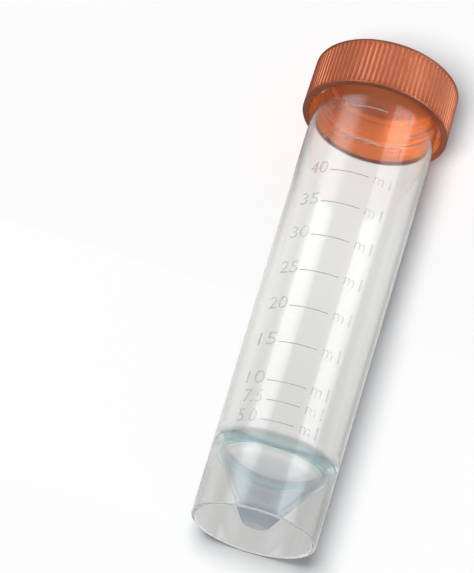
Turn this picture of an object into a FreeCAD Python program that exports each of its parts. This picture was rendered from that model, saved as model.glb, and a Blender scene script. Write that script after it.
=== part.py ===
import FreeCAD, Part
import os
import re
import Sketcher

# Self-standing 50 ml conical tube with a ribbed screw cap: two plastic mouldings.
# +Z is up, the tube stands on its skirt at Z = 0, and the Z axis is its own axis.

doc = FreeCAD.newDocument("conical_tube")
sheet = doc.addObject("Spreadsheet::Sheet", "dims")

# Driving sizes in millimetres, angles in degrees.
sizes = {
    # tube
    "tube_length": 115.9,       # base plane to the rim of the mouth
    "base_diameter": 27.5,      # outside, at the base plane
    "wall_draft": 0.68,         # outside and bore widen towards the mouth
    "tube_wall": 0.95,
    "rim_bevel": 0.3,
    # skirt that the tube stands on
    "skirt_wall": 1.0,          # at the base plane
    "skirt_draft": 0.5,         # the hollow inside narrows upwards
    "hollow_top": 0.97,         # skirt to cone, where the hollow between them ends
    "hollow_bevel": 0.38,
    "foot_bevel": 0.3,
    # cone that closes the bore
    "cone_angle": 33.1,         # half angle, from the axis
    "cone_wall": 1.0,
    "cone_blend": 4.5,          # radius between bore and cone
    "tip_lift": 1.25,           # base plane to the underside of the tip
    "tip_diameter": 5.5,
    "tip_round": 2.2,
    "floor_thickness": 1.2,
    "floor_round": 1.8,
    # screw cap
    "cap_height": 12.5,
    "cap_wall": 1.6,            # bore to the crests of the ribs, at the open edge
    "cap_draft": 0.45,          # the outside narrows towards the top
    "cap_top": 1.8,             # thickness of the flat top
    "thread_room": 0.9,         # radial space between the neck and the cap's bore
    "bore_bevel": 0.8,
    "lead_in": 0.3,
    "lip_height": 0.45,         # smooth band below the ribs
    "lip_bevel": 0.15,
    "top_band": 1.2,            # smooth band above the ribs
    "top_bevel": 0.45,
    "rib_count": 90,
    "rib_depth": 0.35,
    "valley_width": 0.72,       # between two ribs, at their crests
    "plug_depth": 1.6,          # sealing ring that enters the mouth
    "plug_wall": 0.9,
    "plug_gap": 0.3,
    "plug_taper": 0.35,
    "seat_gap": 0.3,            # rim of the tube to the inside of the cap's top
}
for row, name in enumerate(sizes, 1):
    sheet.set("A%d" % row, name)
    sheet.set("B%d" % row, str(sizes[name]))
    sheet.setAlias("B%d" % row, name)
doc.recompute()


def formula(text):
    """The sizes' names in text, pointed at the sheet."""
    return re.sub(r"[a-z]+_[a-z]+", r"dims.\g<0>", text)


def value(text):
    return float(sheet.evalExpression(formula(text)))


# Radii that several outlines share, at any height above the base plane.
def outside(height):
    return "(base_diameter / 2 + (%s) * tan(wall_draft))" % height


def bore(height):
    return "(%s - tube_wall)" % outside(height)


def skirt_inside(height):
    return "(base_diameter / 2 - skirt_wall - (%s) * tan(skirt_draft))" % height


def cone_outside(height):
    return "(tip_diameter / 2 + (%s - tip_lift) * tan(cone_angle))" % height


def cone_inside(height):
    return "(%s - cone_wall / cos(cone_angle))" % cone_outside(height)


floor_height = "(tip_lift + floor_thickness)"
cone_top = "((%s - %s) / (tan(cone_angle) - tan(wall_draft)))" % (bore("0"), cone_inside("0"))
hollow_height = "((%s - %s - hollow_top) / (tan(cone_angle) + tan(skirt_draft)))" % (
    skirt_inside("0"), cone_outside("0"))
cap_bore = "(%s + thread_room)" % outside("tube_length")
cap_radius = "(%s + cap_wall)" % cap_bore
plug_outside = "(%s - plug_gap)" % bore("tube_length")
plug_inside = "(%s - plug_wall)" % plug_outside
ceiling = "(cap_height - cap_top)"
plug_end = "(%s - plug_depth)" % ceiling


def cap_outside(height):
    return "(%s - (%s) * tan(cap_draft))" % (cap_radius, height)


def origin_feature(body, role):
    return [feature for feature in body.Origin.OriginFeatures if feature.Role == role][0]


def outline(body, label, corners):
    """Closed sketch in the XZ plane through corners of (radius, height) formulas."""
    sketch = body.newObject("Sketcher::SketchObject", label)
    sketch.AttachmentSupport = (origin_feature(body, "XZ_Plane"), [""])
    sketch.MapMode = "FlatFace"
    points = [FreeCAD.Vector(value(radius), value(height), 0) for radius, height in corners]
    for i, point in enumerate(points):
        sketch.addGeometry(Part.LineSegment(point, points[(i + 1) % len(points)]), False)
    for i, (radius, height) in enumerate(corners):
        sketch.addConstraint(Sketcher.Constraint("Coincident", i, 2, (i + 1) % len(points), 1))
        pin(sketch, i, "DistanceX", -2, radius)
        pin(sketch, i, "DistanceY", -1, height)
    return sketch


def pin(sketch, line, kind, axis, text):
    """Ties the first end of a line to an axis, or to a formula's distance from it."""
    if text == "0":
        sketch.addConstraint(Sketcher.Constraint("PointOnObject", line, 1, axis))
        return
    index = sketch.addConstraint(Sketcher.Constraint(kind, -1, 1, line, 1, value(text)))
    sketch.setExpression("Constraints[%d]" % index, formula(text))


def turned(body, kind, label, sketch):
    """A full turn of the sketch round the Z axis: a Revolution adds, a Groove cuts."""
    feature = body.newObject(kind, label)
    feature.Profile = sketch
    feature.ReferenceAxis = (sketch, ["V_Axis"])
    feature.Angle = 360
    doc.recompute()
    return feature


def ring_edges(body, rings):
    """Names of the body's circular edges at the given (radius, height) formulas."""
    names = []
    for radius, height in rings:
        for number, edge in enumerate(body.Shape.Edges, 1):
            curve = edge.Curve
            if not isinstance(curve, Part.Circle):
                continue
            if abs(curve.Radius - value(radius)) < 1e-4 and abs(curve.Center.z - value(height)) < 1e-4:
                names.append("Edge%d" % number)
                break
        else:
            raise RuntimeError("no edge at %s, %s" % (radius, height))
    return names


def dressed(body, kind, label, rings, prop, text):
    """Fillet or Chamfer on the body's ring edges, its Radius or Size a named size."""
    names = ring_edges(body, rings)
    base = body.Tip
    feature = body.newObject(kind, label)
    feature.Base = (base, names)
    setattr(feature, prop, value(text))
    feature.setExpression(prop, formula(text))
    doc.recompute()
    return feature


def make_tube():
    body = doc.addObject("PartDesign::Body", "tube")
    body.Label = "tube"

    solid = outline(body, "tube_outline", [
        ("0", "0"),
        (outside("0"), "0"),
        (outside("tube_length"), "tube_length"),
        ("0", "tube_length"),
    ])
    turned(body, "PartDesign::Revolution", "tube_solid", solid)

    cavity = outline(body, "cavity_outline", [
        ("0", floor_height),
        (cone_inside(floor_height), floor_height),
        (bore(cone_top), cone_top),
        (bore("tube_length"), "tube_length"),
        ("0", "tube_length"),
    ])
    turned(body, "PartDesign::Groove", "cavity", cavity)

    hollow = outline(body, "hollow_outline", [
        ("0", "0"),
        (skirt_inside("0"), "0"),
        (skirt_inside(hollow_height), hollow_height),
        (cone_outside(hollow_height), hollow_height),
        ("tip_diameter / 2", "tip_lift"),
        ("0", "tip_lift"),
    ])
    turned(body, "PartDesign::Groove", "skirt_hollow", hollow)

    bevels = [
        ("rim", "rim_bevel", [(outside("tube_length"), "tube_length"),
                              (bore("tube_length"), "tube_length")]),
        ("foot", "foot_bevel", [(outside("0"), "0"), (skirt_inside("0"), "0")]),
        ("hollow_top", "hollow_bevel", [(skirt_inside(hollow_height), hollow_height),
                                        (cone_outside(hollow_height), hollow_height)]),
    ]
    for label, size, rings in bevels:
        dressed(body, "PartDesign::Chamfer", label + "_chamfer", rings, "Size", size)
    rounds = [
        ("tip", "tip_round", [("tip_diameter / 2", "tip_lift")]),
        ("floor", "floor_round", [(cone_inside(floor_height), floor_height)]),
        ("cone_top", "cone_blend", [(bore(cone_top), cone_top)]),
    ]
    for label, radius, rings in rounds:
        dressed(body, "PartDesign::Fillet", label + "_fillet", rings, "Radius", radius)
    return body


def make_cap():
    body = doc.addObject("PartDesign::Body", "screw_cap")
    body.Label = "screw_cap"

    solid = outline(body, "cap_outline", [
        ("0", "0"),
        (cap_outside("0"), "0"),
        (cap_outside("cap_height"), "cap_height"),
        ("0", "cap_height"),
    ])
    turned(body, "PartDesign::Revolution", "cap_solid", solid)

    inside = outline(body, "cap_inside_outline", [
        ("0", "0"),
        (cap_bore, "0"),
        (cap_bore, ceiling),
        (plug_outside, ceiling),
        (plug_outside + " - plug_taper", plug_end),
        (plug_inside, plug_end),
        (plug_inside, ceiling),
        ("0", ceiling),
    ])
    turned(body, "PartDesign::Groove", "cap_inside", inside)

    bevels = [
        ("top", "top_bevel", (cap_outside("cap_height"), "cap_height")),
        ("lip", "lip_bevel", (cap_outside("0"), "0")),
        ("lead_in", "lead_in", (cap_bore, "0")),
        ("bore", "bore_bevel", (cap_bore, ceiling)),
    ]
    for label, size, ring in bevels:
        dressed(body, "PartDesign::Chamfer", label + "_chamfer", [ring], "Size", size)
    cut_valleys(body)
    body.setExpression(".Placement.Base.z",
                       formula("tube_length + seat_gap + cap_top - cap_height"))
    return body


def cut_valleys(body):
    """V-shaped valleys cut round the outside leave the grip ribs standing between them."""
    sketch = body.newObject("Sketcher::SketchObject", "valley_outline")
    sketch.AttachmentSupport = (origin_feature(body, "XY_Plane"), [""])
    sketch.MapMode = "FlatFace"
    sketch.setExpression(".AttachmentOffset.Base.z", formula("lip_height"))
    bottom = cap_radius + " - rib_depth"
    open_side = cap_radius + " + rib_depth"
    corners = [(bottom, "0"), (open_side, "valley_width"), (open_side, "-valley_width")]
    points = [FreeCAD.Vector(value(x), value(y), 0) for x, y in corners]
    for i, (x, y) in enumerate(corners):
        sketch.addGeometry(Part.LineSegment(points[i], points[(i + 1) % 3]), False)
    for i, (x, y) in enumerate(corners):
        sketch.addConstraint(Sketcher.Constraint("Coincident", i, 2, (i + 1) % 3, 1))
        pin(sketch, i, "DistanceX", -2, x)
        pin(sketch, i, "DistanceY", -1, y)

    valley = body.newObject("PartDesign::Pocket", "valley")
    valley.Profile = sketch
    valley.Type = "Length"
    valley.Reversed = True
    valley.setExpression("Length", formula("cap_height - lip_height - top_band"))
    doc.recompute()

    pattern = body.newObject("PartDesign::PolarPattern", "valleys")
    pattern.Originals = [valley]
    pattern.Axis = (origin_feature(body, "Z_Axis"), [""])
    pattern.Angle = 360
    pattern.setExpression("Occurrences", formula("rib_count"))
    body.Tip = pattern
    doc.recompute()


bodies = [make_tube(), make_cap()]
doc.recompute()

for item in doc.Objects:
    if "Invalid" in item.State or "Error" in item.State:
        raise RuntimeError("%s failed: %s" % (item.Name, item.State))
os.makedirs("parts", exist_ok=True)
for body in bodies:
    shape = body.Shape
    if shape.isNull() or not shape.isValid() or len(shape.Solids) != 1:
        raise RuntimeError("bad shape: " + body.Label)
for body in bodies:
    body.Shape.exportStep("parts/%s.step" % body.Label)
    print(body.Label, "%.1f mm3" % body.Shape.Volume, body.Shape.BoundBox)
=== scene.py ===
import math

import bmesh
import bpy
from mathutils import Matrix, Vector


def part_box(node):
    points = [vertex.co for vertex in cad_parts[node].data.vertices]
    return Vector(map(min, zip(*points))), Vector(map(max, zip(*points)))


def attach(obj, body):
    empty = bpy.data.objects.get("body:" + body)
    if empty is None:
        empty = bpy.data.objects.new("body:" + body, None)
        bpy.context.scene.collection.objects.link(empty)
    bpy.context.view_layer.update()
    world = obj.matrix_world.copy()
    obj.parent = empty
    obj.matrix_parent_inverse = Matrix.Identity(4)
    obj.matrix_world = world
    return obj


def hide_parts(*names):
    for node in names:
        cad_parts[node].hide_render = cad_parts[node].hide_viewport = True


# Clear self-standing tube with an orange screw cap. Metres, +Z up, volume marks on the -Y side.
mm = 0.001
onAxis = 1e-6        # closer than this counts as on the axis
weld = 1e-7          # metres, points closer than this become one

print("frame")
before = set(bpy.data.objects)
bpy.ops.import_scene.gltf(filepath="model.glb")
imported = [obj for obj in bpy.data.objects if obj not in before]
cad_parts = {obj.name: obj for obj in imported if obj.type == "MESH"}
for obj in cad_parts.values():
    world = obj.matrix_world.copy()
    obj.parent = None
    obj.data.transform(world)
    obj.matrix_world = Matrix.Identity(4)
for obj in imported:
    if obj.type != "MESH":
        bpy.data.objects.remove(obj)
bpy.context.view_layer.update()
scene = bpy.context.scene
scene.view_settings.view_transform = "Standard"
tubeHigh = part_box("tube")[1]
capLow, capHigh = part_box("screw_cap")


def inMetres(places, start=0.0):
    # millimetres counted from a start in metres
    return [start + place * mm for place in places]


# ---- node helpers
def addNode(tree, kind, place=(0, 0), **settings):
    node = tree.nodes.new(kind)
    node.location = place
    for key, value in settings.items():
        setattr(node, key, value)
    return node


def feed(tree, source, node, name):
    tree.links.new(source, node.inputs[name])


def mathNode(tree, operation, *values):
    # plain numbers go into the sockets, anything else is a link
    node = tree.nodes.new("ShaderNodeMath")
    node.operation = operation
    for socket, value in zip(node.inputs, values):
        if isinstance(value, (int, float)):
            socket.default_value = value
        else:
            tree.links.new(value, socket)
    return node.outputs[0]


def rangeNode(tree, value, low, high, toLow=0.0, toHigh=1.0, blend="SMOOTHSTEP"):
    node = tree.nodes.new("ShaderNodeMapRange")
    node.interpolation_type = blend
    numbers = {"From Min": low, "From Max": high, "To Min": toLow, "To Max": toHigh}
    for name, number in numbers.items():
        if isinstance(number, (int, float)):
            node.inputs[name].default_value = number
        else:
            tree.links.new(number, node.inputs[name])
    tree.links.new(value, node.inputs["Value"])
    return node.outputs["Result"]


def betweenNode(tree, value, start, full, still, end):
    # rises from start to full and falls from still to end
    return mathNode(tree, "MULTIPLY", rangeNode(tree, value, start, full),
                    rangeNode(tree, value, still, end, 1.0, 0.0))


def radiusOf(tree, axes):
    squares = [mathNode(tree, "MULTIPLY", axes.outputs[n], axes.outputs[n]) for n in "XY"]
    return mathNode(tree, "SQRT", mathNode(tree, "ADD", *squares))


def mixShader(tree, factor, first, second):
    join = addNode(tree, "ShaderNodeMixShader", (600, 0))
    for socket, source in zip(join.inputs, (factor, first, second)):
        tree.links.new(source, socket)
    return join.outputs[0]


def newTree(name, inputs):
    tree = bpy.data.node_groups.new(name, "GeometryNodeTree")
    tree.interface.new_socket("Geometry", in_out="INPUT", socket_type="NodeSocketGeometry")
    for label, kind in inputs:
        tree.interface.new_socket(label, in_out="INPUT", socket_type="NodeSocket" + kind)
    tree.interface.new_socket("Geometry", in_out="OUTPUT", socket_type="NodeSocketGeometry")
    start = addNode(tree, "NodeGroupInput", (-900, 0))
    return tree, start


def endTree(tree, start, geometry):
    realize = addNode(tree, "GeometryNodeRealizeInstances", (700, 0))
    paint = addNode(tree, "GeometryNodeSetMaterial", (900, 0))
    end = addNode(tree, "NodeGroupOutput", (1100, 0))
    tree.links.new(geometry, realize.inputs["Geometry"])
    tree.links.new(realize.outputs["Geometry"], paint.inputs["Geometry"])
    feed(tree, start.outputs["Material"], paint, "Material")
    tree.links.new(paint.outputs["Geometry"], end.inputs[0])


def grown(name, tree, values, base=None):
    # runs a tree on an object and keeps the result as a plain mesh
    holder = bpy.data.objects.new(name, base or bpy.data.meshes.new(name))
    scene.collection.objects.link(holder)
    modifier = holder.modifiers.new(tree.name, "NODES")
    modifier.node_group = tree
    for item in tree.interface.items_tree:
        if item.in_out == "INPUT" and item.name in values:
            modifier[item.identifier] = values[item.name]
    graph = bpy.context.evaluated_depsgraph_get()
    mesh = bpy.data.meshes.new_from_object(holder.evaluated_get(graph))
    bpy.data.objects.remove(holder)
    return mesh


# ---- mesh helpers
def roundedOutline(corners, turn=12.0, support=0.12):
    # corners are (radius, height, rounding) in mm, the ends stay sharp
    points = [Vector(corners[0][:2])]
    for before, corner, after in zip(corners, corners[1:], corners[2:]):
        here, rounding = Vector(corner[:2]), corner[2]
        back = (Vector(before[:2]) - here).normalized()
        ahead = (Vector(after[:2]) - here).normalized()
        half = back.angle(ahead) / 2
        reach = rounding / math.tan(half)
        centre = here + (back + ahead).normalized() * rounding / math.sin(half)
        first, last = here + back * reach, here + ahead * reach
        sweep = math.pi - 2 * half
        steps = max(2, math.ceil(math.degrees(sweep) / turn))
        points.append(first + back * support)
        for i in range(steps + 1):
            t = i / steps
            arm = (first - centre) * math.sin((1 - t) * sweep)
            arm += (last - centre) * math.sin(t * sweep)
            points.append(centre + arm / math.sin(sweep))
        points.append(last + ahead * support)
    points.append(Vector(corners[-1][:2]))
    return points


def split(points, longest):
    # long straight runs get rings of their own, for even shading
    out = [points[0]]
    for a, b in zip(points, points[1:]):
        pieces = max(1, math.ceil((b - a).length / longest))
        out += [a.lerp(b, i / pieces) for i in range(1, pieces + 1)]
    return out


def lathe(name, points, steps):
    mesh = bmesh.new()
    rings = []
    for radius, height in points:
        if radius < onAxis:
            rings.append([mesh.verts.new((0, 0, height * mm))])
            continue
        r, z = radius * mm, height * mm
        angles = [2 * math.pi * i / steps for i in range(steps)]
        rings.append([mesh.verts.new((r * math.cos(a), r * math.sin(a), z)) for a in angles])
    for low, high in zip(rings, rings[1:]):
        for i in range(steps):
            j = (i + 1) % steps
            quad = [low[i % len(low)], low[j % len(low)], high[j % len(high)], high[i % len(high)]]
            mesh.faces.new([v for n, v in enumerate(quad) if v not in quad[:n]])
    return finished(name, mesh)


def finished(name, mesh, sharp=None):
    # outward normals, smooth faces, sharp where faces meet above the given angle
    bmesh.ops.recalc_face_normals(mesh, faces=mesh.faces)
    for face in mesh.faces:
        face.smooth = True
    if sharp is not None:
        for edge in mesh.edges:
            edge.smooth = edge.calc_face_angle(0) < math.radians(sharp)
    data = bpy.data.meshes.new(name)
    mesh.to_mesh(data)
    mesh.free()
    return data


def merged(name, meshes, sharp):
    whole = bmesh.new()
    for data in meshes:
        whole.from_mesh(data)
        bpy.data.meshes.remove(data)
    bmesh.ops.remove_doubles(whole, verts=whole.verts, dist=weld)
    return finished(name, whole, sharp)


def piece(name, data, material, body, slot, *nodes):
    data.materials.clear()
    data.materials.append(material)
    thing = bpy.data.objects.new(name, data)
    scene.collection.objects.link(thing)
    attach(thing, body)
    if nodes:
        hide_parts(*nodes)
    print(name, len(data.polygons), "faces")
    return thing


# ---- materials
plastic = {
    "colour": (0.985, 0.988, 0.985, 1),
    "clearness": 0.99,
    "ringColour": (0.695, 0.858, 0.882, 1),  # the thick ring where cone, barrel and skirt meet
    "ring": (14.3, 14.9, 17.2, 18.2),        # mm, fades in and out
    "ringEdgeColour": (0.67, 0.71, 0.73, 1),
    "ringEdge": (16.2, 17.0, 17.4, 18.0),    # mm, greyer upper edge of the ring
    "coneColour": (0.80, 0.855, 0.89, 1),
    "cone": (12.6, 14.4),                    # mm, fades out into the ring
    "coneRadius": 12.2 * mm,                 # inside the skirt
    "tipColour": (0.42, 0.46, 0.49, 1),      # the thick tip of the cone
    "tip": (4.0, 5.6),                       # mm
    "tipMilk": 0.6,                          # how far the tip is from clear
    "bend": 1.49,
    "roughness": (0.03, 0.08),
    "hazeScale": 260.0,                      # patches of the two roughnesses
    "hazeRange": (0.3, 0.7),
    "hazeStretch": (1, 1, 0.25),             # longer than wide
    "flowScale": 90.0,                       # long waves left by the moulding
    "flowStretch": (1, 1, 0.15),
    "flowStrength": 0.006,
    "flowDepth": 0.1 * mm,
    "through": (0.50, 0.10),                 # share of lamp light let through face on and edge on
    "edgeBlend": 0.35,
    "scattered": (0.97, 0.98, 0.98, 1),      # what soft light keeps on its way through
    "deepest": 8,                            # reflections inside the wall before a ray is let out
    "caught": (0.80, 0.83, 0.83, 1),         # what such a ray keeps
    "markColour": (0.74, 0.75, 0.76, 1),
    "markClearness": 0.98,
    "markRoughness": (0.1, 0.15),
    "markFadeScale": 330.0,
    "markFade": (0.45, 0.68, 0.0, 0.7),      # from and to in the noise, and how faded there
}
cover = {
    "colour": (0.440, 0.098, 0.040, 1),
    "crestWearAndGrooveShade": (0.530, 0.120, 0.050, 1),        # rib crests, lighter than the grooves: painted shade in the grooves, with random wear
    "crest": 0.4 * mm,                       # how far in from the widest the lighter crests reach
    "wornScale": 120.0,
    "wornShares": (0.35, 0.65, 0.75, 1.0),   # from and to in the noise, and how worn there
    "ribsFrom": (0.4, 0.7),                  # mm from the open edge, the plain rims get no crest colour
    "ribsTo": (-1.1, -0.8),                  # mm from the top
    # painted light: the inside of the cap is painted far brighter than the outside, and towards the
    # top it fades to the darker ceiling colour, painted shade
    "inside": (0.97, 0.290, 0.062, 1),
    "insideRadius": (16.1, 16.4),            # mm
    "insideFrom": (0.12, 0.3),               # mm from the open edge
    "insideTo": (-1.4, -1.0),                # mm from the top
    "ceiling": (0.62, 0.190, 0.064, 1),
    "ceilingFrom": (-2.4, -1.9),
    "lip": (0.200, 0.046, 0.021, 1),         # painted shade under the open edge
    "lipTo": (0.08, 0.2),
    "edge": (0.17, 0.050, 0.026, 1),         # painted shade round the top
    "edgeFrom": (-0.8, -0.5),
    "edgeRadius": (-1.2, -0.9),              # mm from the widest
    "edgeRoughness": 0.8,
    "roughness": (0.5, 0.2),                 # in the grooves and on the crests
    "bend": 1.6,
    "specular": 1.0,
    "tint": (1.0, 0.40, 0.22, 1),
    "grainScale": 2600.0,
    "grainStrength": 0.12,
    "grainDepth": 0.05 * mm,
}


def newMaterial(name):
    material = bpy.data.materials.new(name)
    material.use_nodes = True
    tree = material.node_tree
    tree.nodes.clear()
    output = addNode(tree, "ShaderNodeOutputMaterial", (900, 0))
    place = addNode(tree, "ShaderNodeTexCoord", (-1200, 0)).outputs["Object"]
    axes = addNode(tree, "ShaderNodeSeparateXYZ", (-1000, 200))
    tree.links.new(place, axes.inputs[0])
    return material, tree, output, place, axes


def noiseNode(tree, place, scale, detail=3.0, stretch=None):
    if stretch:
        mapping = addNode(tree, "ShaderNodeMapping", (-1000, -300))
        mapping.inputs["Scale"].default_value = stretch
        tree.links.new(place, mapping.inputs["Vector"])
        place = mapping.outputs["Vector"]
    noise = addNode(tree, "ShaderNodeTexNoise", (-800, -300))
    noise.inputs["Scale"].default_value = scale
    noise.inputs["Detail"].default_value = detail
    tree.links.new(place, noise.inputs["Vector"])
    return noise.outputs["Fac"]


def mixColour(tree, factor, first, second):
    mix = addNode(tree, "ShaderNodeMix", (-200, 200), data_type="RGBA")
    tree.links.new(factor, mix.inputs["Factor"])
    for socket, colour in ((mix.inputs[6], first), (mix.inputs[7], second)):
        if isinstance(colour, tuple):
            socket.default_value = colour
        else:
            tree.links.new(colour, socket)
    return mix.outputs[2]


def addBumps(tree, shader, height, strength, depth):
    bump = addNode(tree, "ShaderNodeBump", (0, -200))
    bump.inputs["Strength"].default_value = strength
    bump.inputs["Distance"].default_value = depth
    tree.links.new(height, bump.inputs["Height"])
    tree.links.new(bump.outputs["Normal"], shader.inputs["Normal"])


def tintedClear(tree, colour):
    clear = addNode(tree, "ShaderNodeBsdfTransparent", (300, -300))
    if isinstance(colour, tuple):
        clear.inputs["Color"].default_value = colour
    else:
        tree.links.new(colour, clear.inputs["Color"])
    return clear.outputs[0]


def clearPlastic(name, plain, roughness, clearness):
    material, tree, output, place, axes = newMaterial(name)
    shader = addNode(tree, "ShaderNodeBsdfPrincipled", (200, 200))
    height = axes.outputs["Z"]
    if plain != plastic["colour"]:       # marks fade in places
        faded = noiseNode(tree, place, plastic["markFadeScale"], 2.0)
        faded = rangeNode(tree, faded, *plastic["markFade"])
        plain = mixColour(tree, faded, plain, plastic["colour"])
    inRing = betweenNode(tree, height, *inMetres(plastic["ring"]))
    colour = mixColour(tree, inRing, plain, plastic["ringColour"])
    inEdge = betweenNode(tree, height, *inMetres(plastic["ringEdge"]))
    colour = mixColour(tree, inEdge, colour, plastic["ringEdgeColour"])
    inSkirt = mathNode(tree, "LESS_THAN", radiusOf(tree, axes), plastic["coneRadius"])
    inCone, inTip = [mathNode(tree, "MULTIPLY", inSkirt,
                              rangeNode(tree, height, *inMetres(plastic[part]), 1.0, 0.0))
                     for part in ("cone", "tip")]
    colour = mixColour(tree, inCone, colour, plastic["coneColour"])
    colour = mixColour(tree, inTip, colour, plastic["tipColour"])
    tree.links.new(colour, shader.inputs["Base Color"])
    haze = noiseNode(tree, place, plastic["hazeScale"], 4.0, plastic["hazeStretch"])
    haze = rangeNode(tree, haze, *plastic["hazeRange"], *roughness)
    tree.links.new(haze, shader.inputs["Roughness"])
    milky = clearness - plastic["tipMilk"]
    tree.links.new(rangeNode(tree, inTip, 0.0, 1.0, clearness, milky, "LINEAR"),
                   shader.inputs["Transmission Weight"])
    shader.inputs["IOR"].default_value = plastic["bend"]
    flow = noiseNode(tree, place, plastic["flowScale"], 2.0, plastic["flowStretch"])
    addBumps(tree, shader, flow, plastic["flowStrength"], plastic["flowDepth"])
    # light that reaches other things passes through, less so where it meets the wall edge on
    facing = addNode(tree, "ShaderNodeLayerWeight", (-200, -400))
    facing.inputs["Blend"].default_value = plastic["edgeBlend"]
    faceOn, edgeOn = [(share, share, share, 1) for share in plastic["through"]]
    light = mixColour(tree, facing.outputs["Facing"], faceOn, edgeOn)
    path = addNode(tree, "ShaderNodeLightPath", (200, 500))
    # a ray caught inside the wall is let out after a while, dimmed
    deep = mathNode(tree, "GREATER_THAN", path.outputs["Ray Depth"], plastic["deepest"])
    surface = shader.outputs[0]
    for factor, passing in ((path.outputs["Is Diffuse Ray"], plastic["scattered"]),
                            (deep, plastic["caught"]), (path.outputs["Is Shadow Ray"], light)):
        surface = mixShader(tree, factor, surface, tintedClear(tree, passing))
    tree.links.new(surface, output.inputs["Surface"])
    return material


def orangePlastic(name):
    material, tree, output, place, axes = newMaterial(name)
    shader = addNode(tree, "ShaderNodeBsdfPrincipled", (500, 0))
    radius, z = radiusOf(tree, axes), axes.outputs["Z"]

    def fromEdge(part, edge, *shares):
        # fades in over the named heights, or out where shares say so
        return rangeNode(tree, z, *inMetres(cover[part], edge), *shares)

    # rib crests lighter than the grooves: painted shade in the grooves, varied by random wear
    # patches
    crest = rangeNode(tree, radius, capHigh.x - cover["crest"], capHigh.x)
    cloud = noiseNode(tree, place, cover["wornScale"])
    crestWearAndGrooveShade = mathNode(tree, "MULTIPLY", crest, rangeNode(tree, cloud, *cover["wornShares"]))
    ribs = mathNode(tree, "MULTIPLY", fromEdge("ribsFrom", capLow.z),
                    fromEdge("ribsTo", capHigh.z, 1.0, 0.0))
    crestWearAndGrooveShade = mathNode(tree, "MULTIPLY", crestWearAndGrooveShade, ribs)
    # painted light inside the cap, fading to painted shade at the ceiling
    within = rangeNode(tree, radius, *inMetres(cover["insideRadius"]), 1.0, 0.0)
    inner = mathNode(tree, "MULTIPLY", within, fromEdge("insideFrom", capLow.z))
    inner = mathNode(tree, "MULTIPLY", inner,
                     mathNode(tree, "SUBTRACT", 1.0, fromEdge("insideTo", capHigh.z)))
    inside = mixColour(tree, fromEdge("ceilingFrom", capHigh.z), cover["inside"], cover["ceiling"])
    colour = mixColour(tree, inner, cover["colour"], inside)
    colour = mixColour(tree, crestWearAndGrooveShade, colour, cover["crestWearAndGrooveShade"])
    # painted shade under the open edge
    colour = mixColour(tree, fromEdge("lipTo", capLow.z, 1.0, 0.0), colour, cover["lip"])
    # painted shade along the rounding round the top, which is also made rough
    rim = fromEdge("edgeFrom", capHigh.z)
    outer = rangeNode(tree, radius, *inMetres(cover["edgeRadius"], capHigh.x))
    colour = mixColour(tree, mathNode(tree, "MULTIPLY", rim, outer), colour, cover["edge"])
    tree.links.new(colour, shader.inputs["Base Color"])
    sheen = rangeNode(tree, crestWearAndGrooveShade, 0.0, 1.0, *cover["roughness"])
    rough = mathNode(tree, "MULTIPLY", rim, cover["edgeRoughness"])
    tree.links.new(mathNode(tree, "MAXIMUM", sheen, rough), shader.inputs["Roughness"])
    shader.inputs["IOR"].default_value = cover["bend"]
    shader.inputs["Specular IOR Level"].default_value = cover["specular"]
    shader.inputs["Specular Tint"].default_value = cover["tint"]
    grain = noiseNode(tree, place, cover["grainScale"])
    addBumps(tree, shader, grain, cover["grainStrength"], cover["grainDepth"])
    tree.links.new(shader.outputs[0], output.inputs["Surface"])
    return material


print("materials")
tubeMaterial = clearPlastic("clearPlastic", plastic["colour"], plastic["roughness"],
                            plastic["clearness"])
markMaterial = clearPlastic("markPlastic", plastic["markColour"], plastic["markRoughness"],
                            plastic["markClearness"])
capMaterial = orangePlastic("orangePlastic")


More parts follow.
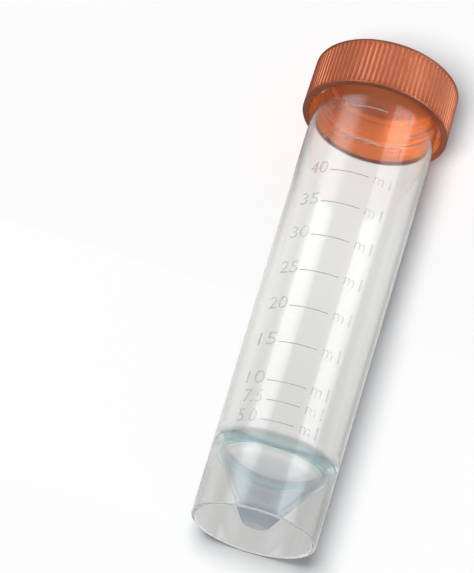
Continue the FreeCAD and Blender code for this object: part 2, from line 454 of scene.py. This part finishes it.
# ---- bead that follows a ring or a helix: threads and mark lines
def beadTree():
    tree, start = newTree("raisedBead", [
        ("Turns", "Float"), ("Start Angle", "Float"), ("Low Radius", "Float"),
        ("High Radius", "Float"), ("Low Height", "Float"), ("Rise", "Float"),
        ("Foot Width", "Float"), ("Crest Width", "Float"), ("Relief", "Float"),
        ("Run Out", "Float"), ("Steps", "Int"), ("Material", "Material")])
    given = start.outputs
    spiral = addNode(tree, "GeometryNodeCurveSpiral", (-600, 300))
    for name, source in (("Resolution", "Steps"), ("Rotations", "Turns"), ("Height", "Rise"),
                         ("Start Radius", "Low Radius"), ("End Radius", "High Radius")):
        feed(tree, given[source], spiral, name)
    spiral.inputs["Reverse"].default_value = True      # climbs to the right
    shift = addNode(tree, "ShaderNodeCombineXYZ", (-600, 0))
    feed(tree, given["Low Height"], shift, "Z")
    turn = addNode(tree, "ShaderNodeCombineXYZ", (-600, -150))
    feed(tree, given["Start Angle"], turn, "Z")
    placed = addNode(tree, "GeometryNodeTransform", (-400, 300))
    tree.links.new(spiral.outputs[0], placed.inputs["Geometry"])
    feed(tree, shift.outputs[0], placed, "Translation")
    feed(tree, turn.outputs[0], placed, "Rotation")
    upright = addNode(tree, "GeometryNodeSetCurveNormal", (-200, 300), mode="Z_UP")
    tree.links.new(placed.outputs[0], upright.inputs[0])
    along = addNode(tree, "GeometryNodeSplineParameter", (-400, 500)).outputs["Factor"]
    fromEnd = mathNode(tree, "MINIMUM", along, mathNode(tree, "SUBTRACT", 1.0, along))
    size = rangeNode(tree, fromEnd, 0.0, given["Run Out"], toLow=0.02)      # thinner at its ends
    sized = addNode(tree, "GeometryNodeSetCurveRadius", (0, 300))
    tree.links.new(upright.outputs[0], sized.inputs["Curve"])
    tree.links.new(size, sized.inputs["Radius"])
    section = addNode(tree, "GeometryNodeCurvePrimitiveQuadrilateral", (-400, -300),
                      mode="TRAPEZOID")
    feed(tree, given["Relief"], section, "Height")
    feed(tree, given["Foot Width"], section, "Bottom Width")
    feed(tree, given["Crest Width"], section, "Top Width")
    section.inputs["Offset"].default_value = 0
    lift = addNode(tree, "ShaderNodeCombineXYZ", (-400, -500))
    tree.links.new(mathNode(tree, "MULTIPLY", given["Relief"], 0.5), lift.inputs["Y"])
    raised = addNode(tree, "GeometryNodeTransform", (-200, -300))
    tree.links.new(section.outputs[0], raised.inputs["Geometry"])
    feed(tree, lift.outputs[0], raised, "Translation")
    bead = addNode(tree, "GeometryNodeCurveToMesh", (200, 0))
    tree.links.new(sized.outputs[0], bead.inputs["Curve"])
    tree.links.new(raised.outputs[0], bead.inputs["Profile Curve"])
    bead.inputs["Fill Caps"].default_value = True
    endTree(tree, start, bead.outputs[0])
    return tree


bead = beadTree()

# ---- tube
tube = {
    "baseRadius": 13.75,
    "draft": 0.68,           # degrees, outside and bore
    "wall": 0.95,
    "skirtWall": 1.0,
    "skirtDraft": 0.5,
    "hollowTop": 0.97,       # width of the hollow where it ends
    "coneAngle": 33.1,
    "coneWall": 1.0,
    "tipLift": 1.25,
    "tipRadius": 2.75,
    "floorThickness": 1.2,
    "rounds": {"foot": 0.3, "hollow": 0.38, "tip": 2.2, "rim": 0.3, "blend": 4.5, "floor": 1.8},
    "steps": 256,
    "longestRun": 2.0,
}


def slope(angle):
    return math.tan(math.radians(angle))


def outside(height):
    return tube["baseRadius"] + height * slope(tube["draft"])


def makeTube():
    rounds = tube["rounds"]
    rim = tubeHigh.z / mm
    cone, skirt = slope(tube["coneAngle"]), slope(tube["skirtDraft"])
    skirtRadius = tube["baseRadius"] - tube["skirtWall"]
    under = tube["tipRadius"] - tube["tipLift"] * cone       # cone outside, carried down to Z = 0
    inner = under - tube["coneWall"] / math.cos(math.radians(tube["coneAngle"]))
    hollow = (skirtRadius - under - tube["hollowTop"]) / (cone + skirt)
    floor = tube["tipLift"] + tube["floorThickness"]
    boreFoot = tube["baseRadius"] - tube["wall"]
    coneTop = (boreFoot - inner) / (cone - slope(tube["draft"]))
    corners = [
        (0, tube["tipLift"], 0),
        (tube["tipRadius"], tube["tipLift"], rounds["tip"]),
        (under + hollow * cone, hollow, rounds["hollow"]),
        (skirtRadius - hollow * skirt, hollow, rounds["hollow"]),
        (skirtRadius, 0, rounds["foot"]),
        (tube["baseRadius"], 0, rounds["foot"]),
        (outside(rim), rim, rounds["rim"]),
        (outside(rim) - tube["wall"], rim, rounds["rim"]),
        (inner + coneTop * cone, coneTop, rounds["blend"]),
        (inner + floor * cone, floor, rounds["floor"]),
        (0, floor, 0),
    ]
    return lathe("clear_tube", split(roundedOutline(corners), tube["longestRun"]), tube["steps"])


print("tube")
piece("clear_tube", makeTube(), tubeMaterial, "tube_body", "clear_plastic", "tube")

# ---- threads
neckThread = {
    "turns": 1.6, "pitch": 3.0, "low": 107.6, "start": 200.0,
    "foot": 1.25, "crest": 0.55, "relief": 0.62, "sunk": 0.08, "runOut": 0.06, "steps": 110,
}
capThread = {
    "turns": 1.7, "pitch": 3.0, "low": 107.4, "start": 20.0,
    "foot": 1.25, "crest": 0.55, "relief": 0.6, "sunk": 0.06, "runOut": 0.05, "steps": 110,
}


def helix(name, thread, lowRadius, highRadius, outward, material):
    # the path lies just under the wall that carries the thread
    rise = thread["turns"] * thread["pitch"]
    side = 1 if outward else -1
    data = grown(name, bead, {
        "Turns": thread["turns"], "Start Angle": math.radians(thread["start"]),
        "Low Radius": (lowRadius - side * thread["sunk"]) * mm,
        "High Radius": (highRadius - side * thread["sunk"]) * mm,
        "Low Height": thread["low"] * mm, "Rise": rise * mm,
        "Foot Width": thread["foot"] * mm, "Crest Width": thread["crest"] * mm,
        "Relief": side * (thread["relief"] + thread["sunk"]) * mm,
        "Run Out": thread["runOut"], "Steps": thread["steps"], "Material": material})
    return merged(name, [data], sharp=40)


print("threads")
low, high = neckThread["low"], neckThread["low"] + neckThread["turns"] * neckThread["pitch"]
neckBead = helix("neck_thread", neckThread, outside(low), outside(high), True, tubeMaterial)
piece("neck_thread", neckBead, tubeMaterial, "tube_body", "clear_plastic")

# ---- cap
cap = {
    "top": 1.8,
    "draft": 0.45,
    "threadRoom": 0.9,
    "plugGap": 0.3,
    "plugWall": 0.9,
    "plugDepth": 1.6,
    "plugTaper": 0.35,
    "rounds": {"plug": 0.25, "plugFoot": 0.1, "bore": 0.8, "leadIn": 0.3, "lip": 0.18, "top": 0.35,
               "gate": 0.05},
    "gateRadius": 1.1,
    "gateSlant": 0.15,
    "gateDepth": 0.12,
    "ribs": 90,
    "ribDepth": 0.33,
    "ribSharpness": 0.85,
    "ribLow": 0.45,          # from the open edge
    "ribHigh": 0.75,         # from the top
    "ribFade": 0.55,
    "gripWall": 0.5,         # what lies this close to the widest radius gets ribs
    "stepsPerRib": 10,
    "turn": 18.0,            # degrees between the rings of a rounding
    "support": 0.08,         # from a rounding to the ring beside it
    "longestRun": 4.0,
    "ringsPerFade": 3,
}
capBore = outside(tubeHigh.z / mm) + cap["threadRoom"]


def makeCapBlank():
    rounds = cap["rounds"]
    low, high, radius = capLow.z / mm, capHigh.z / mm, capHigh.x / mm
    ceiling = high - cap["top"]
    plugEnd = ceiling - cap["plugDepth"]
    plugOut = outside(tubeHigh.z / mm) - tube["wall"] - cap["plugGap"]
    plugIn = plugOut - cap["plugWall"]
    corners = [
        (0, ceiling, 0),
        (plugIn, ceiling, rounds["plugFoot"]),
        (plugIn, plugEnd, rounds["plug"]),
        (plugOut - cap["plugTaper"], plugEnd, rounds["plug"]),
        (plugOut, ceiling, rounds["plugFoot"]),
        (capBore, ceiling, rounds["bore"]),
        (capBore, low, rounds["leadIn"]),
        (radius, low, rounds["lip"]),
        (radius - (high - low) * slope(cap["draft"]), high, rounds["top"]),
        (cap["gateRadius"], high, rounds["gate"]),
        (cap["gateRadius"] - cap["gateSlant"], high - cap["gateDepth"], rounds["gate"]),
        (0, high - cap["gateDepth"], 0),
    ]
    points = split(roundedOutline(corners, cap["turn"], cap["support"]), cap["longestRun"])
    # extra rings on the outer wall, where the ribs run out
    fades = (low + cap["ribLow"], high - cap["ribHigh"] - cap["ribFade"])
    rings = [start + cap["ribFade"] * n / cap["ringsPerFade"] for start in fades
             for n in range(cap["ringsPerFade"] + 1)]
    ringed = [points[0]]
    for a, b in zip(points, points[1:]):
        if a.x > radius - cap["gripWall"]:
            ringed += [a.lerp(b, (z - a.y) / (b.y - a.y)) for z in rings if a.y < z < b.y]
        ringed.append(b)
    return lathe("cap_blank", ringed, cap["ribs"] * cap["stepsPerRib"])


def ribTree():
    tree, start = newTree("gripRibs", [
        ("Count", "Float"), ("Depth", "Float"), ("Sharpness", "Float"), ("Low", "Float"),
        ("High", "Float"), ("Fade", "Float"), ("Outside", "Float"), ("Material", "Material")])
    given = start.outputs
    position = addNode(tree, "GeometryNodeInputPosition", (-900, 400)).outputs[0]
    axes = addNode(tree, "ShaderNodeSeparateXYZ", (-700, 400))
    tree.links.new(position, axes.inputs[0])
    x, y, z = axes.outputs
    radius = radiusOf(tree, axes)
    phase = mathNode(tree, "MULTIPLY", mathNode(tree, "ARCTAN2", y, x), given["Count"])
    wave = mathNode(tree, "MULTIPLY_ADD", mathNode(tree, "COSINE", phase), 0.5, 0.5)
    valley = rangeNode(tree, wave, 0.1, given["Sharpness"])      # makes the wave ribs and grooves
    onWall = mathNode(tree, "GREATER_THAN", radius, given["Outside"])
    between = betweenNode(tree, z, given["Low"], mathNode(tree, "ADD", given["Low"], given["Fade"]),
                          mathNode(tree, "SUBTRACT", given["High"], given["Fade"]), given["High"])
    cut = mathNode(tree, "MULTIPLY", mathNode(tree, "MULTIPLY", valley, given["Depth"]),
                   mathNode(tree, "MULTIPLY", onWall, between))
    share = mathNode(tree, "DIVIDE", mathNode(tree, "SUBTRACT", radius, cut),
                     mathNode(tree, "MAXIMUM", radius, onAxis))
    moved = addNode(tree, "ShaderNodeCombineXYZ", (200, 200))
    tree.links.new(mathNode(tree, "MULTIPLY", x, share), moved.inputs["X"])
    tree.links.new(mathNode(tree, "MULTIPLY", y, share), moved.inputs["Y"])
    tree.links.new(z, moved.inputs["Z"])
    setter = addNode(tree, "GeometryNodeSetPosition", (400, 0))
    tree.links.new(given["Geometry"], setter.inputs["Geometry"])
    tree.links.new(moved.outputs[0], setter.inputs["Position"])
    endTree(tree, start, setter.outputs[0])
    return tree


print("cap")
ribbed = grown("ribbed_cap", ribTree(), {
    "Count": float(cap["ribs"]), "Depth": cap["ribDepth"] * mm, "Sharpness": cap["ribSharpness"],
    "Low": capLow.z + cap["ribLow"] * mm, "High": capHigh.z - cap["ribHigh"] * mm,
    "Fade": cap["ribFade"] * mm, "Outside": capHigh.x - cap["gripWall"] * mm,
    "Material": capMaterial}, makeCapBlank())
piece("ribbed_cap", ribbed, capMaterial, "cap_body", "orange_plastic", "screw_cap")
capBead = helix("cap_thread", capThread, capBore, capBore, False, capMaterial)
piece("cap_thread", capBead, capMaterial, "cap_body", "orange_plastic")

# ---- volume marks, heights in mm for each number of ml
marks = {
    "heights": {"50": 100.8, "45": 92.0, "40": 83.0, "35": 74.6, "30": 65.8, "25": 56.65,
                "20": 47.55, "15": 38.55, "10": 29.14, "7.5": 24.6, "5.0": 19.96},
    "lineFrom": -27.0,       # degrees from -Y towards +X
    "lineTo": 8.3,
    "shortFrom": -22.2,      # on the two lowest marks
    "lineWidth": 0.42,
    "crestWidth": 0.12,
    "relief": 0.055,
    "sunk": 0.03,
    "runOut": 0.02,
    "steps": 160,
    "digitHeight": 3.0,
    "numberRight": -30.0,
    "shortRight": -27.0,
    "numberWidth": 4.6,
    "numberDrop": 0.8,       # baseline below the line
    "unitHeight": 2.9,
    "mShare": 0.6,           # of the unit's height
    "mLeft": 13.5,
    "mWidth": 2.4,
    "lLeft": 29.0,
    "lWidth": 0.35,
    "unitDrop": 0.9,
    "thinning": -0.012,
    "smoothness": 4,
}


def letters(text, width, height):
    # flat letters as a closed plate, lower left corner at the origin, in mm
    curve = bpy.data.curves.new("letters", "FONT")
    curve.body = text
    curve.extrude = 0.5      # any thickness, onTube gives the real one
    curve.offset = marks["thinning"]
    curve.resolution_u = marks["smoothness"]
    holder = bpy.data.objects.new("letters", curve)
    scene.collection.objects.link(holder)
    graph = bpy.context.evaluated_depsgraph_get()
    data = bpy.data.meshes.new_from_object(holder.evaluated_get(graph))
    bpy.data.objects.remove(holder)
    xs = [v.co.x for v in data.vertices]
    ys = [v.co.y for v in data.vertices]
    wide = width / (max(xs) - min(xs))
    tall = height / (max(ys) - min(ys))
    toCorner = Matrix.Translation((-min(xs), -min(ys), 0))
    data.transform(Matrix.Diagonal((wide, tall, 1, 1)) @ toCorner)
    return data


def onTube(data, left, base):
    # bends a flat plate round the tube, its thickness from under the wall to the relief
    for vertex in data.vertices:
        height = base + vertex.co.y
        wall = outside(height)
        angle = math.radians(left) + vertex.co.x / wall
        radius = wall + (marks["relief"] if vertex.co.z > 0 else -marks["sunk"])
        vertex.co = (radius * mm * math.sin(angle), -radius * mm * math.cos(angle), height * mm)
    return data


def markLine(height, start, end):
    radius = (outside(height) - marks["sunk"]) * mm
    return grown("markLine", bead, {
        "Turns": (end - start) / 360, "Start Angle": math.radians(start - 90),
        "Low Radius": radius, "High Radius": radius, "Low Height": height * mm, "Rise": 0.0,
        "Foot Width": marks["lineWidth"] * mm, "Crest Width": marks["crestWidth"] * mm,
        "Relief": (marks["relief"] + marks["sunk"]) * mm, "Run Out": marks["runOut"],
        "Steps": marks["steps"], "Material": markMaterial})


def makeMarks():
    parts = []
    for text, height in marks["heights"].items():
        short = "." in text
        start = marks["shortFrom"] if short else marks["lineFrom"]
        parts.append(markLine(height, start, marks["lineTo"]))
        right = marks["shortRight"] if short else marks["numberRight"]
        left = right - math.degrees(marks["numberWidth"] / outside(height))
        number = letters(text, marks["numberWidth"], marks["digitHeight"])
        parts.append(onTube(number, left, height - marks["numberDrop"]))
        base = height - marks["unitDrop"]
        small = letters("m", marks["mWidth"], marks["unitHeight"] * marks["mShare"])
        parts.append(onTube(small, marks["mLeft"], base))
        tall = letters("l", marks["lWidth"], marks["unitHeight"])
        parts.append(onTube(tall, marks["lLeft"], base))
    return merged("volume_marks", parts, sharp=30)


print("marks")
piece("volume_marks", makeMarks(), markMaterial, "tube_body", "clear_plastic")

# ---- stage
stage = {
    "wallTop": 17.8 * mm,            # how far behind the axis, at the cap
    "wallBase": 14.3 * mm,           # and at the base
    "size": 1.2,
    "seam": 62.0 * mm,               # height at which the light on the backdrop changes
    "white": (0.88, 0.88, 0.88, 1),
    "wallGlow": 0.0,
    "floorGlow": 0.45,
    "inGloss": 0.9,                  # how bright the stage is in reflections, on the tube
    "inCapGloss": (0.08, 0.36),      # and on the cap, left and right
    "glossSides": (-12.0, 20.0),     # mm
    "glossHeights": (94.0, 104.0),   # mm
    "behindGlass": (0.80, 0.98),     # white that clear plastic shows behind it, low and high up; darker low down as painted shade
    "behindHeights": (8.0, 88.0),    # mm
    "behindColour": (1.0, 0.985, 0.962, 1),
    "behindShare": 0.9,              # the rest is the lit surface
    "afterMirror": 0.9,              # for a ray that was reflected on its way
    "skirt": (16.0, 27.0),           # mm, painted shade: the backdrop is darker below, behind the skirt
    "skirtShare": 0.78,
    "farLeft": (-22.0, -17.0),       # and painted shade beside the tube, which draws its outline
    "leftShares": (0.86, 0.62),      # low and high up, darker near the cap
    "leftHeights": (66.0, 100.0),
    # painted shadow of the tube on the right of the backdrop, seen through the plastic and in
    # reflections
    "farRight": (17.0, 22.0),
    "rightShare": 0.60,
    "nearRight": (6.0, 12.0),
    "nearShare": 0.92,
}


def backdropShading(tree, path, x, z):
    # the white that clear plastic and gloss show, with painted shade and a painted shadow that draw
    # the tube's edges
    mirrored = rangeNode(tree, path.outputs["Glossy Depth"], 0.0, 1.0, 1.0, stage["afterMirror"],
                         "LINEAR")
    shares = rangeNode(tree, z, *inMetres(stage["leftHeights"]), *stage["leftShares"])
    left = rangeNode(tree, x, *inMetres(stage["farLeft"]), shares, 1.0)
    skirt = rangeNode(tree, z, *inMetres(stage["skirt"]), stage["skirtShare"], 1.0)
    right = rangeNode(tree, x, *inMetres(stage["farRight"]), 1.0, stage["rightShare"])
    near = rangeNode(tree, x, *inMetres(stage["nearRight"]), 1.0, stage["nearShare"])
    behind = rangeNode(tree, z, *inMetres(stage["behindHeights"]), *stage["behindGlass"])
    for shade in (mirrored, left, skirt, right, near):
        behind = mathNode(tree, "MULTIPLY", behind, shade)
    sides = mathNode(tree, "MULTIPLY", left, right)
    tubeShine = mathNode(tree, "MULTIPLY", sides, stage["inGloss"])
    capShine = rangeNode(tree, x, *inMetres(stage["glossSides"]), *stage["inCapGloss"])
    return behind, rangeNode(tree, z, *inMetres(stage["glossHeights"]), tubeShine, capShine)


def stageMaterial(name, glowStrength, backdrop):
    # one-sided: lamps and whatever stands behind it reach the object
    material, tree, output, _, axes = newMaterial(name)
    path = addNode(tree, "ShaderNodeLightPath", (-600, 300))
    side = addNode(tree, "ShaderNodeNewGeometry", (-600, 0))
    paint = addNode(tree, "ShaderNodeBsdfDiffuse", (-200, 200))
    paint.inputs["Color"].default_value = stage["white"]
    glow = addNode(tree, "ShaderNodeEmission", (-200, 50))
    glow.inputs["Strength"].default_value = glowStrength
    lit = addNode(tree, "ShaderNodeAddShader", (0, 100))
    tree.links.new(paint.outputs[0], lit.inputs[0])
    tree.links.new(glow.outputs[0], lit.inputs[1])
    behind, shine = stage["behindGlass"][1], stage["inGloss"]
    hidden = mathNode(tree, "MAXIMUM", path.outputs["Is Shadow Ray"], side.outputs["Backfacing"])
    if backdrop:
        behind, shine = backdropShading(tree, path, axes.outputs["X"], axes.outputs["Z"])
    else:            # the floor sends no light back to the object
        hidden = mathNode(tree, "MAXIMUM", hidden, path.outputs["Is Diffuse Ray"])
    glass = path.outputs["Is Transmission Ray"]
    gloss = mathNode(tree, "SUBTRACT", path.outputs["Is Glossy Ray"], glass)
    plain = addNode(tree, "ShaderNodeEmission", (0, -50))
    plain.inputs["Color"].default_value = stage["behindColour"]
    tree.links.new(rangeNode(tree, gloss, 0.0, 1.0, behind, shine, "LINEAR"),
                   plain.inputs["Strength"])
    share = mathNode(tree, "MULTIPLY", glass, stage["behindShare"])
    bent = mathNode(tree, "MAXIMUM", gloss, share)
    surface = mixShader(tree, bent, lit.outputs[0], plain.outputs[0])
    surface = mixShader(tree, hidden, surface, tintedClear(tree, (1, 1, 1, 1)))
    tree.links.new(surface, output.inputs["Surface"])
    return material


def stagePlane(name, corners, glowStrength, backdrop):
    data = bpy.data.meshes.new(name)
    data.from_pydata(corners, [], [(0, 1, 2, 3)])
    data.materials.append(stageMaterial(name, glowStrength, backdrop))
    thing = bpy.data.objects.new(name, data)
    scene.collection.objects.link(thing)


print("stage")
half = stage["size"] / 2
stagePlane("floor", [(-half, -half, 0), (half, -half, 0), (half, half, 0), (-half, half, 0)],
           stage["floorGlow"], False)
lean = (stage["wallTop"] - stage["wallBase"]) / capLow.z
walls = {"backdropLow": (-half, stage["seam"]), "backdropHigh": (stage["seam"], half)}
for name, (low, high) in walls.items():
    corners = ((-half, low), (half, low), (half, high), (-half, high))
    stagePlane(name, [(x, stage["wallBase"] + lean * z, z) for x, z in corners],
               stage["wallGlow"], True)

# ---- light: two soft suns that cast the shadow, a fill, a lamp behind, four upright bands for
# the gloss and a narrow beam into the cap
keys = {
    # elevation, spread, what it lights
    "lowKey": (2.0, 28.0, ("floor", "backdropLow")),
    "highKey": (-32.0, 20.0, ("backdropHigh",)),
}
key = {"azimuth": -10.3, "distance": 1.0, "strength": 2.79, "colour": (1.012, 1.0, 0.984)}
fill = {"azimuth": 0.0, "elevation": -20.0, "distance": 0.75, "size": 0.3, "radiance": 10.8}
back = {"azimuth": 180.0, "elevation": 30.0, "distance": 0.75, "size": 0.5, "radiance": 3.0}
bands = {
    # azimuth, width, radiance, soft edge, what it lights
    "tubeRight": (49.5, 0.46, 1.5, 0.07, "tube"),
    "tubeLeft": (-49.0, 0.62, 1.9, 0.4, "tube"),
    "gripRight": (47.5, 0.30, 10.4, 0.1, "cap"),
    "gripLeft": (-38.0, 0.36, 9.0, 0.4, "cap"),
}
bandPlace = {"distance": 0.60, "height": 0.36, "tall": 0.46}
# goes through the clear neck, into the right half of the cap
inlet = {"azimuth": -1.2, "elevation": -32.1, "distance": 0.15, "wide": 13 * mm, "tall": 10 * mm,
         "spread": 2.5, "energy": 4.1e-4, "aim": (10.2, 12.4, 113.1)}
# "caught" is the white for a ray that was reflected inside the wall too often
sky = {"colour": (0.90, 0.96, 1.04, 1), "strength": 0.24, "caught": 0.5}
middle = Vector((0, 0, 60 * mm))


def group(name, *things):
    made = bpy.data.collections.new(name)
    for thing in things:
        made.objects.link(scene.objects[thing])
    return made


tubeNames = ("clear_tube", "neck_thread", "volume_marks")
capNames = ("ribbed_cap", "cap_thread")
tubePieces = group("tube pieces", *tubeNames)
capPieces = group("cap pieces", *capNames)
pieces = group("pieces", *tubeNames, *capNames)


def lampAt(name, kind, azimuth, elevation, distance, aim):
    data = bpy.data.lights.new(name, kind)
    lamp = bpy.data.objects.new(name, data)
    scene.collection.objects.link(lamp)
    a, e = math.radians(azimuth), math.radians(elevation)
    way = Vector((math.sin(a) * math.cos(e), -math.cos(a) * math.cos(e), math.sin(e)))
    lamp.location = aim + way * distance
    lamp.rotation_euler = (-way).to_track_quat("-Z", "Y").to_euler()
    lamp.visible_camera = False
    return lamp


def softSides(data, edge):
    # fades the lamp out towards its two upright sides
    data.use_nodes = True
    tree = data.node_tree
    glow = next(n for n in tree.nodes if n.type == "EMISSION")
    place = addNode(tree, "ShaderNodeNewGeometry", (-800, 0)).outputs["Parametric"]
    across = addNode(tree, "ShaderNodeSeparateXYZ", (-600, 0))
    tree.links.new(place, across.inputs[0])
    u = across.outputs["X"]
    fromSide = mathNode(tree, "MINIMUM", u, mathNode(tree, "SUBTRACT", 1.0, u))
    tree.links.new(rangeNode(tree, fromSide, 0.0, edge), glow.inputs["Strength"])


print("light")
for name, (elevation, spread, lit) in keys.items():
    lamp = lampAt(name, "SUN", key["azimuth"], elevation, key["distance"], middle)
    lamp.data.angle = math.radians(spread)
    # evens out the slant, so both halves of the backdrop are equally bright
    slant = math.cos(math.radians(key["azimuth"]))
    lamp.data.energy = key["strength"] / slant / math.cos(math.radians(elevation))
    lamp.data.color = key["colour"]
    lamp.visible_glossy = False
    lamp.light_linking.receiver_collection = group(name, *lit)

for name, values in (("fill", fill), ("back", back)):
    lamp = lampAt(name, "AREA", values["azimuth"], values["elevation"], values["distance"], middle)
    lamp.data.size = values["size"]
    lamp.data.energy = values["radiance"] * math.pi * values["size"] ** 2
    lamp.visible_glossy = lamp.visible_transmission = False
    lamp.light_linking.receiver_collection = pieces
    lamp.light_linking.blocker_collection = capPieces

lamp = lampAt("inlet", "AREA", inlet["azimuth"], inlet["elevation"], inlet["distance"],
              Vector(inlet["aim"]) * mm)
lamp.data.shape = "RECTANGLE"
lamp.data.size, lamp.data.size_y = inlet["wide"], inlet["tall"]
lamp.data.spread = math.radians(inlet["spread"])
lamp.data.energy = inlet["energy"]
lamp.visible_glossy = lamp.visible_transmission = False
lamp.light_linking.receiver_collection = capPieces
lamp.light_linking.blocker_collection = capPieces

rise = bandPlace["height"] - middle.z
upwards = math.degrees(math.atan2(rise, bandPlace["distance"]))
reach = math.hypot(bandPlace["distance"], rise)
for name, (azimuth, width, radiance, edge, lit) in bands.items():
    lamp = lampAt(name, "AREA", azimuth, upwards, reach, middle)
    lamp.data.shape = "RECTANGLE"
    lamp.data.size, lamp.data.size_y = width, bandPlace["tall"]
    lamp.data.energy = radiance * math.pi * width * bandPlace["tall"]
    lamp.visible_diffuse = False
    lamp.light_linking.receiver_collection = tubePieces if lit == "tube" else capPieces
    softSides(lamp.data, edge)

world = bpy.data.worlds.new("studio")
scene.world = world
world.use_nodes = True
tree = world.node_tree
tree.nodes.clear()
worldOut = addNode(tree, "ShaderNodeOutputWorld", (600, 0))
soft = addNode(tree, "ShaderNodeBackground", (0, 100))
soft.inputs["Color"].default_value = sky["colour"]
soft.inputs["Strength"].default_value = sky["strength"]
white = addNode(tree, "ShaderNodeBackground", (0, -100))
white.inputs["Color"].default_value = (1, 1, 1, 1)
path = addNode(tree, "ShaderNodeLightPath", (-300, 300))
mirrored = mathNode(tree, "MINIMUM", path.outputs["Glossy Depth"], 1.0)
straight = mathNode(tree, "SUBTRACT", 1.0, mirrored)
bentOnly = mathNode(tree, "MULTIPLY", path.outputs["Is Transmission Ray"], straight)
seen = mathNode(tree, "MAXIMUM", path.outputs["Is Camera Ray"], bentOnly)
deep = mathNode(tree, "GREATER_THAN", path.outputs["Ray Depth"], plastic["deepest"])
seen = mathNode(tree, "MAXIMUM", seen, mathNode(tree, "MULTIPLY", sky["caught"], deep))
tree.links.new(mixShader(tree, seen, soft.outputs[0], white.outputs[0]), worldOut.inputs["Surface"])

# ---- camera: low in front of the base, looking up and leaning
view = {"place": (0, -0.38263, -0.13406), "yaw": -0.0503, "pitch": 0.4574, "roll": 0.3129,
        "lens": 118.99, "sensor": 36, "near": 0.01, "far": 10}
print("camera")
yaw, pitch, roll = view["yaw"], view["pitch"], view["roll"]
ahead = Vector((math.sin(yaw) * math.cos(pitch), math.cos(yaw) * math.cos(pitch), math.sin(pitch)))
right = ahead.cross(Vector((0, 0, 1))).normalized()
up = right.cross(ahead)
across = right * math.cos(roll) + up * math.sin(roll)
over = up * math.cos(roll) - right * math.sin(roll)
lens = bpy.data.cameras.new("camera")
lens.lens, lens.sensor_width = view["lens"], view["sensor"]
lens.clip_start, lens.clip_end = view["near"], view["far"]
camera = bpy.data.objects.new("camera", lens)
scene.collection.objects.link(camera)
turn = Matrix((across, over, -ahead)).transposed().to_4x4()
camera.matrix_world = Matrix.Translation(view["place"]) @ turn
scene.camera = camera

scene.cycles.transmission_bounces = 24
scene.cycles.transparent_max_bounces = 24
scene.cycles.max_bounces = 28
scene.cycles.glossy_bounces = 24
